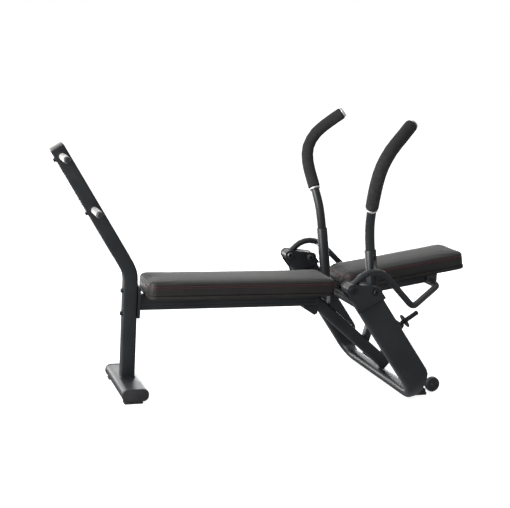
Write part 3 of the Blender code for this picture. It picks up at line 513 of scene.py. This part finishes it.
# ---------------------------------------------------------------- cushions
def local_box(node, turn):
    """Box of a node in a turned frame."""
    back = turn.inverted()
    points = [back @ p for p in points_of(node)]
    return (Vector([min(p[i] for p in points) for i in range(3)]),
            Vector([max(p[i] for p in points) for i in range(3)]))


def rounded_outline(length, width, corner, steps=8):
    points = []
    for k, (sx, sy) in enumerate(((1, 1), (-1, 1), (-1, -1), (1, -1))):
        centre = Vector((sx * (length / 2 - corner), sy * (width / 2 - corner), 0))
        for i in range(steps + 1):
            a = math.pi / 2 * (k + i / steps)
            points.append(centre + corner * Vector((math.cos(a), math.sin(a), 0)))
    return points


def cushion_levels(thick, edge):
    """(height, inset) from the flat underside to the rim of the top panel."""
    levels = [(0.0, 0.0035), (0.004, 0.0008), (0.4 * thick, 0.0)]
    for i in range(5):
        a = math.pi / 2 * i / 4
        levels.append((thick - edge + edge * math.sin(a), edge * (1 - math.cos(a))))
    return levels


def cushion_start(length, width, thick, corner, crown):
    """The stuffed pad before it swells: rings up its side, then rings across a crowned top."""
    bm = bmesh.new()
    levels = cushion_levels(thick - crown, SIDE_ROUNDING)
    rim = levels[-1][1]
    for i in range(1, 5):
        share = i / 4
        levels.append((thick - crown * (1 - share) ** 2, rim + (width / 2 - rim) * 0.82 * share))
    loops = []
    for height, inset in levels:
        outline = rounded_outline(length - 2 * inset, width - 2 * inset, max(corner - inset, 0.004))
        loops.append([bm.verts.new(p + Vector((0, 0, height))) for p in outline])
    count = len(loops[0])
    for low, high in zip(loops, loops[1:]):
        for k in range(count):
            bm.faces.new((low[k], low[(k + 1) % count], high[(k + 1) % count], high[k]))
    bm.faces.new(loops[0][::-1])
    bm.faces.new(loops[-1])
    return bm


def apply_all(piece):
    """The mesh as its modifiers leave it."""
    graph = bpy.context.evaluated_depsgraph_get()
    done = bpy.data.meshes.new_from_object(piece.evaluated_get(graph))
    piece.modifiers.clear()
    piece.data = done


def swell(piece, cap):
    """Inflates the remeshed pad as cloth, holds its underside flat and limits how far a point moves."""
    scene = bpy.context.scene
    start = [v.co.copy() for v in piece.data.vertices]
    held = piece.vertex_groups.new(name="held")
    held.add([i for i, p in enumerate(start) if p.z < UNDERSIDE], 1.0, "REPLACE")
    cloth = piece.modifiers.new("cloth", "CLOTH")
    cloth.settings.use_pressure = True
    cloth.settings.uniform_pressure_force = PRESSURE
    cloth.settings.effector_weights.gravity = 0
    cloth.settings.vertex_group_mass = "held"
    cloth.settings.quality = CLOTH_QUALITY
    cloth.settings.mass = CLOTH_MASS
    cloth.settings.tension_stiffness = STRETCH_STIFFNESS
    cloth.settings.compression_stiffness = STRETCH_STIFFNESS
    cloth.settings.bending_stiffness = BEND_STIFFNESS
    scene.frame_start, scene.frame_end = 1, CLOTH_FRAMES
    for number in range(1, CLOTH_FRAMES + 1):
        scene.frame_set(number)
    apply_all(piece)
    for vertex, old in zip(piece.data.vertices, start):
        moved = vertex.co - old
        if moved.length > cap:
            vertex.co = old + moved * (cap / moved.length)
    scene.frame_set(1)


def crease(piece, path, depth, reach, pucker):
    """Draws the surface in along a seam, with small puckers beside it."""
    count = len(path)
    ribbon = path + [p + Vector((0, 0, 1e-5)) for p in path]
    faces = [(i, (i + 1) % count, (i + 1) % count + count, i + count) for i in range(count)]
    tree = BVHTree.FromPolygons(ribbon, faces)
    normals = [v.normal.copy() for v in piece.data.vertices]
    for vertex, normal in zip(piece.data.vertices, normals):
        found, side, index, distance = tree.find_nearest(vertex.co, 4 * reach)
        if found is None:
            continue
        wave = 0.5 + 0.5 * math.cos(2 * math.pi * index / count * round(count / 4))
        dip = depth * math.exp(-(distance / reach) ** 2)
        fold = pucker * wave * math.exp(-((distance - 1.6 * reach) / (1.5 * reach)) ** 2)
        vertex.co -= normal * (dip + fold)


def seam_path(piece, outline, height, step=0.0025):
    """Points where a level line round the pad meets its surface, each with the surface's normal."""
    graph = bpy.context.evaluated_depsgraph_get()
    tree = BVHTree.FromObject(piece, graph)
    found = []
    ring = evenly(outline, step)
    count = len(ring)
    for i, point in enumerate(ring):
        along = ring[(i + 1) % count] - ring[i - 1]
        out = Vector((along.y, -along.x, 0)).normalized()
        hit, normal, index, distance = tree.ray_cast(point + out * 0.05 + Vector((0, 0, height)), -out)
        if hit is not None:
            found.append((hit, normal))
    return found


def smoothed(piece):
    piece.data.shade_smooth()
    modifier = piece.modifiers.new("round", "SUBSURF")
    modifier.levels = modifier.render_levels = 1
    apply_all(piece)
    piece.data.shade_smooth()


def cushion(name, node, turn, body, cloth_mat, welt_mat, thread_mat, corner, crown):
    low, high = local_box(node, turn)
    size = high - low
    inset = 2 * START_INSET
    place = turn @ Matrix.Translation(((low.x + high.x) / 2, (low.y + high.y) / 2, low.z))
    bm = cushion_start(size.x - inset, size.y - inset, size.z + PAD_RISE, corner, crown)
    mesh = bpy.data.meshes.new(name)
    bmesh.ops.recalc_face_normals(bm, faces=bm.faces)
    bm.to_mesh(mesh)
    bm.free()
    piece = bpy.data.objects.new(name, mesh)
    bpy.context.scene.collection.objects.link(piece)
    remesh = piece.modifiers.new("even", "REMESH")
    remesh.mode = "VOXEL"
    remesh.voxel_size = VOXEL
    apply_all(piece)
    swell(piece, SWELL)
    smoothed(piece)
    outline = rounded_outline(size.x, size.y, corner + START_INSET, 10)
    seam = [p for p, n in seam_path(piece, outline, size.z - PANEL_DROP)]
    crease(piece, seam, *PIPED_CREASE)
    hem = [p for p, n in seam_path(piece, outline, HEM_HEIGHT)]
    crease(piece, hem, *HEM_CREASE)
    welt = [p + n * PIPING_LIFT for p, n in seam_path(piece, outline, size.z - PANEL_DROP)]
    row = seam_path(piece, outline, size.z - PANEL_DROP - STITCH_DROP, STITCH_PITCH)
    for vertex in piece.data.vertices:
        vertex.co.z = max(vertex.co.z, 0.0)
    piece.data.materials.append(cloth_mat)
    piece.matrix_world = place
    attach(piece, body)
    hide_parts(node)
    piping = bmesh.new()
    tube_round(piping, [place @ p for p in welt], [PIPING_R] * len(welt))
    new_piece(name + "_piping", piping, welt_mat, body)
    stitches = bmesh.new()
    for i, (point, normal) in enumerate(row):
        after = row[(i + 1) % len(row)][0]
        middle = (point + after) / 2
        half = (after - point).normalized() * (STITCH / 2)
        ends = [place @ (middle + normal * STITCH_LIFT + shift) for shift in (-half, half)]
        bead_grain(stitches, ends[0], ends[1], STITCH_R, place.to_3x3() @ normal * STITCH_LIFT)
    new_piece(name + "_stitches", stitches, thread_mat, body)


# ---------------------------------------------------------------- grips
def foam_grip(side, mat):
    """The foam sleeve, drawn over the same tube as its plain CAD solid, with soft round ends."""
    node = f"grip_{side}"
    source = frame["nodes"][node]
    piece = bpy.data.objects.new(f"foam_grip_{side}", source.data.copy())
    bpy.context.scene.collection.objects.link(piece)
    weld = piece.modifiers.new("weld", "WELD")
    weld.merge_threshold = MERGE
    even = piece.modifiers.new("even", "REMESH")
    even.mode = "VOXEL"
    even.voxel_size = FOAM_VOXEL
    ease = piece.modifiers.new("ease", "SMOOTH")
    ease.factor = 0.5
    ease.iterations = 14
    apply_all(piece)
    outward = [v.normal.copy() for v in piece.data.vertices]
    for vertex, normal in zip(piece.data.vertices, outward):
        grain = noise.noise(vertex.co * 230) * 0.00022 + noise.noise(vertex.co * 60) * 0.0003
        vertex.co += normal * (FOAM_OVERSIZE + grain)
    piece.data.shade_smooth()
    piece.data.materials.clear()
    piece.data.materials.append(mat)
    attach(piece, MOVING)
    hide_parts(node)


# ---------------------------------------------------------------- welds and fasteners
def weld_round(name, node, direction, body, mat, grow=0.0006):
    """A rippled weld bead round the end of a tube."""
    direction = Vector(direction).normalized()
    end = far_face(node, direction)
    centre = middle_of(end)
    ring = evenly(ordered(end, direction), WELD_STEP)
    ring = [p + (p - centre).normalized() * grow - direction * grow for p in ring]
    radii = [WELD * (0.86 + 0.14 * math.cos(1.7 * i) + 0.08 * noise.noise(p * 300))
             for i, p in enumerate(ring)]
    bm = bmesh.new()
    tube_round(bm, ring, radii)
    new_piece(name, bm, mat, body)


def socket_head(name, node, direction, radius, body, mat):
    """Six-sided drive with a rolled rim, on the face of a fastener that looks along a direction."""
    direction = Vector(direction).normalized()
    centre = middle_of(far_face(node, direction))
    u, v = around(direction)
    bm = bmesh.new()
    loops = []
    rings = ((1.0, 0.0002, 24), (0.93, 0.0008, 24), (0.66, 0.0008, 24), (0.56, 0.0002, 6))
    for share, rise, sides in rings:
        loop = []
        for k in range(24):
            a = 2 * math.pi * k / 24
            if sides == 6:
                corner = math.pi / 6
                bend = (a % (2 * corner)) - corner
                reach = radius * share * math.cos(corner) / math.cos(bend)
            else:
                reach = radius * share
            across = reach * (u * math.cos(a) + v * math.sin(a))
            loop.append(bm.verts.new(centre + direction * rise + across))
        loops.append(loop)
    for low, high in zip(loops, loops[1:]):
        for k in range(24):
            bm.faces.new((low[k], low[(k + 1) % 24], high[(k + 1) % 24], high[k]))
    bm.faces.new(loops[-1])
    bm.faces.new(loops[0][::-1])
    new_piece(name, bm, mat, body, 30)


# ---------------------------------------------------------------- the CAD nodes
def soften_group():
    """Joins the solids' split corners, and shades their round faces smooth and their edges sharp."""
    group = bpy.data.node_groups.new("soften", "GeometryNodeTree")
    group.interface.new_socket("Geometry", in_out="INPUT", socket_type="NodeSocketGeometry")
    group.interface.new_socket("Geometry", in_out="OUTPUT", socket_type="NodeSocketGeometry")
    start = group.nodes.new("NodeGroupInput")
    end = group.nodes.new("NodeGroupOutput")
    merge = group.nodes.new("GeometryNodeMergeByDistance")
    merge.inputs["Distance"].default_value = MERGE
    smooth = group.nodes.new("GeometryNodeSetShadeSmooth")
    smooth.domain = "FACE"
    angle = group.nodes.new("GeometryNodeInputMeshEdgeAngle")
    steep = group.nodes.new("ShaderNodeMath")
    steep.operation = "GREATER_THAN"
    steep.inputs[1].default_value = SMOOTH_BELOW
    sharp = group.nodes.new("GeometryNodeSetShadeSmooth")
    sharp.domain = "EDGE"
    sharp.inputs["Shade Smooth"].default_value = False
    links = group.links
    links.new(start.outputs[0], merge.inputs["Geometry"])
    links.new(merge.outputs["Geometry"], smooth.inputs["Geometry"])
    links.new(smooth.outputs["Geometry"], sharp.inputs["Geometry"])
    links.new(angle.outputs["Unsigned Angle"], steep.inputs[0])
    links.new(steep.outputs[0], sharp.inputs["Selection"])
    links.new(sharp.outputs["Geometry"], end.inputs[0])
    return group


def dress(node, mat, group):
    """Finish and softened edges of a carried-over CAD node."""
    piece = frame["nodes"][node]
    piece.data.materials.clear()
    piece.data.materials.append(mat)
    soften = piece.modifiers.new("soften", "NODES")
    soften.node_group = group
    edge = piece.modifiers.new("edge", "BEVEL")
    edge.width = EDGE_ROUNDING
    edge.segments = 2
    edge.limit_method = "ANGLE"
    edge.angle_limit = ROUND_ABOVE
    edge.harden_normals = True


def finish_nodes(finishes):
    group = soften_group()
    slots = {row["node"]: row["material_slot"] for row in frame["record"]["subparts"]}
    for node in sorted(frame["nodes"]):
        if frame["nodes"][node].hide_render:
            continue
        mat = finishes.get(node) or finishes[slots[node]]
        dress(node, mat, group)


# ---------------------------------------------------------------- the object
def make_cushions(skin, piping, stitching):
    flat = Matrix.Identity(4)
    tilted = Matrix.Rotation(-BACK_TILT, 4, "Y")
    cushion("seat_cushion", "seat_pad", flat, STANDING, skin, piping, stitching,
            SEAT_CORNER, SEAT_CROWN)
    cushion("back_cushion", "back_pad", tilted, MOVING, skin, piping, stitching,
            BACK_CORNER, BACK_CROWN)


def make_welds(paint):
    weld_round("weld_post_foot", "front_post", (0, 0, -1), STANDING, paint)
    for side, sign in zip(SIDES, (-1, 1)):
        weld_round(f"weld_cross_{side}", "cross_member", (0, sign, 0), STANDING, paint)
        weld_round(f"weld_low_cross_{side}", "low_cross_tube", (0, sign, 0), MOVING, paint)


# Painted shade: a near-black spindle along each bracket's lower edge stands in for the shadowed gap
# between bracket and leg
def make_bracket_gap_shade(mat):
    for side, sign in zip(SIDES, (-1, 1)):
        bm = bmesh.new()
        ends = [Vector((x, sign * JOINT_Y, z)) for x, z in (JOINT_LOW, JOINT_HIGH)]
        bead_grain(bm, ends[0], ends[1], SHADE_STRIP_R, Vector((0, sign * SHADE_STRIP_LIFT, 0)))
        new_piece(f"bracket_gap_shade_{side}", bm, mat, STANDING)


def make_fasteners(dark):
    lean = (-math.cos(POST_LEAN), 0, -math.sin(POST_LEAN))
    for level in ("upper", "lower"):
        socket_head(f"drive_foot_bar_{level}", f"foot_bar_bolt_{level}", lean, DRIVE_R,
                    STANDING, dark)
        socket_head(f"drive_seat_beam_{level}", f"seat_beam_bolt_{level}", (-1, 0, 0), DRIVE_R,
                    STANDING, dark)
    for side, sign in zip(SIDES, (-1, 1)):
        for facing in (sign, -sign):
            where = "outer" if facing == sign else "inner"
            socket_head(f"drive_clamp_{side}_{where}", f"clamp_bolt_{side}", (0, facing, 0), BIG_DRIVE_R,
                        STANDING, dark)
            socket_head(f"drive_pivot_{side}_{where}", f"pivot_pin_{side}", (0, facing, 0), BIG_DRIVE_R,
                        STANDING, dark)


make_camera()
make_studio()
paint = powder_coat()
skin = vinyl("black_vinyl", (0.0143, 0.0128, 0.0123), (0.0100, 0.0090, 0.0087), 0.56)
piping = vinyl("maroon_piping", (0.046, 0.015, 0.020), (0.032, 0.011, 0.015), 0.45)
steel = bright_plate("bright_steel", (0.56, 0.55, 0.53), 0.46, 0.62)
zinc = bright_plate("zinc_plate", (0.42, 0.42, 0.42), 0.38)
worn = bright_plate("worn_zinc", (0.20, 0.20, 0.205), 0.42)
dark = bright_plate("black_oxide", (0.060, 0.062, 0.068), 0.40)
plastic = moulded("black_plastic", (0.0135, 0.0135, 0.0145), 0.5)
make_cushions(skin, piping, thread())
for side in SIDES:
    foam_grip(side, foam())
make_welds(paint)
make_fasteners(dark)
# the near-black plastic here is painted shade of the gap under each pivot bracket
make_bracket_gap_shade(moulded("gap_shade_black", (0.0020, 0.0020, 0.0022), 0.8))
finish_nodes({
    "frame_paint": paint,
    "upholstery": skin,
    "plywood": stained_board(),
    "black_plastic": plastic,
    "rubber": rubber(),
    "bright_steel": steel,
    "zinc_steel": zinc,
    "pivot_pin_left": dark,
    "pivot_pin_right": worn,
    "clamp_bolt_left": dark,
    "clamp_bolt_right": worn,
    "foot_bar_bolt_upper": dark,
    "foot_bar_bolt_lower": dark,
    "seat_beam_bolt_upper": dark,
    "seat_beam_bolt_lower": dark,
    "post_top_cap": moulded("cap_plastic", (0.085, 0.083, 0.080), 0.42),
    "weight_horn": dark,
})
